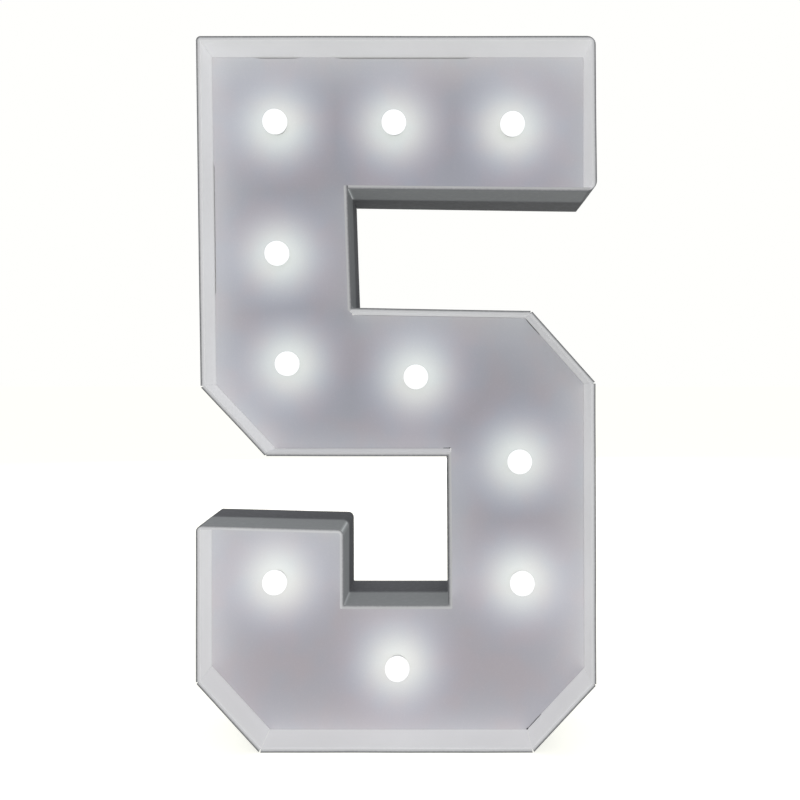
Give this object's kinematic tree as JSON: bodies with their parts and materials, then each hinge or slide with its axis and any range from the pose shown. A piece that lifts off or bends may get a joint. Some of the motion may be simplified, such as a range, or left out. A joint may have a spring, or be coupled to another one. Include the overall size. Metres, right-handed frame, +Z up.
{
  "type": "light-up marquee number",
  "caption": "Free-standing figure five of folded foam board, open at the front, with frosted ball lamps on a recessed face panel and a battery box behind it.",
  "frame": {"origin": "on the floor, under the middle of the figure's width and depth", "axes": "+Z up, +X to the right as seen from the front, +Y from the front rim to the back rim"},
  "size_m": [0.5119, 0.12, 0.914],
  "materials": {
    "foam_board": "matte",
    "face_board": "matte",
    "frosted_globe": "frosted",
    "white_plastic": "moulded",
    "phosphor_led": "smooth",
    "wire_sleeve": "satin",
    "clip_plastic": "moulded",
    "box_plastic": "fine texture",
    "plated_steel": "bright",
    "circuit_laminate": "satin",
    "black_plastic": "moulded",
    "cell_wrap": "satin",
    "black_rubber": "matte",
    "foam_tape": "matte"
  },
  "bodies": {
    "figure": {"face_panel": "face_board", "crown_strip": "foam_board", "crown_ledges": "foam_board", "notch_strip": "foam_board", "notch_ledges": "foam_board", "shoulder_strip": "foam_board", "shoulder_ledges": "foam_board", "right_side_strip": "foam_board", "right_side_ledges": "foam_board", "lower_right_strip": "foam_board", "lower_right_ledges": "foam_board", "base_strip": "foam_board", "base_ledges": "foam_board", "lower_left_strip": "foam_board", "lower_left_ledges": "foam_board", "block_strip": "foam_board", "block_ledges": "foam_board", "waist_strip": "foam_board", "waist_ledges": "foam_board", "lamp_holders": "white_plastic", "lock_rings": "white_plastic", "lamp_emitters": "phosphor_led", "wire_link_1": "wire_sleeve", "wire_link_2": "wire_sleeve", "wire_link_3": "wire_sleeve", "wire_link_4": "wire_sleeve", "wire_link_5": "wire_sleeve", "wire_link_6": "wire_sleeve", "wire_link_7": "wire_sleeve", "wire_link_8": "wire_sleeve", "wire_link_9": "wire_sleeve", "supply_lead": "wire_sleeve", "wire_clips": "clip_plastic", "battery_box": "box_plastic", "control_cover": "box_plastic", "cover_screw": "plated_steel", "circuit_board": "circuit_laminate", "switch_case": "plated_steel", "cell_1": "cell_wrap", "cell_2": "cell_wrap", "cell_3": "cell_wrap", "contact_springs": "plated_steel", "contact_plates": "plated_steel", "lead_grommet": "black_rubber", "box_tape": "foam_tape"},
    "globe_1": {"globe_1": "frosted_globe"},
    "globe_2": {"globe_2": "frosted_globe"},
    "globe_3": {"globe_3": "frosted_globe"},
    "globe_4": {"globe_4": "frosted_globe"},
    "globe_5": {"globe_5": "frosted_globe"},
    "globe_6": {"globe_6": "frosted_globe"},
    "globe_7": {"globe_7": "frosted_globe"},
    "globe_8": {"globe_8": "frosted_globe"},
    "globe_9": {"globe_9": "frosted_globe"},
    "globe_10": {"globe_10": "frosted_globe"},
    "battery_lid": {"battery_lid": "box_plastic"},
    "switch_knob": {"switch_knob": "black_plastic"}
  },
  "joints": [
    {"name": "globe_1_pull", "type": "slide", "parent": "figure", "child": "globe_1", "axis": [0, -1, 0], "range_m": [0, 0.065]},
    {"name": "globe_2_pull", "type": "slide", "parent": "figure", "child": "globe_2", "axis": [0, -1, 0], "range_m": [0, 0.065]},
    {"name": "globe_3_pull", "type": "slide", "parent": "figure", "child": "globe_3", "axis": [0, -1, 0], "range_m": [0, 0.065]},
    {"name": "globe_4_pull", "type": "slide", "parent": "figure", "child": "globe_4", "axis": [0, -1, 0], "range_m": [0, 0.065]},
    {"name": "globe_5_pull", "type": "slide", "parent": "figure", "child": "globe_5", "axis": [0, -1, 0], "range_m": [0, 0.065]},
    {"name": "globe_6_pull", "type": "slide", "parent": "figure", "child": "globe_6", "axis": [0, -1, 0], "range_m": [0, 0.065]},
    {"name": "globe_7_pull", "type": "slide", "parent": "figure", "child": "globe_7", "axis": [0, -1, 0], "range_m": [0, 0.065]},
    {"name": "globe_8_pull", "type": "slide", "parent": "figure", "child": "globe_8", "axis": [0, -1, 0], "range_m": [0, 0.065]},
    {"name": "globe_9_pull", "type": "slide", "parent": "figure", "child": "globe_9", "axis": [0, -1, 0], "range_m": [0, 0.065]},
    {"name": "globe_10_pull", "type": "slide", "parent": "figure", "child": "globe_10", "axis": [0, -1, 0], "range_m": [0, 0.065]},
    {"name": "lid_slide", "type": "slide", "parent": "figure", "child": "battery_lid", "axis": [1, 0, 0], "range_m": [0, 0.06]},
    {"name": "switch_slide", "type": "slide", "parent": "figure", "child": "switch_knob", "axis": [1, 0, 0], "range_m": [0, 0.003]}
  ]
}
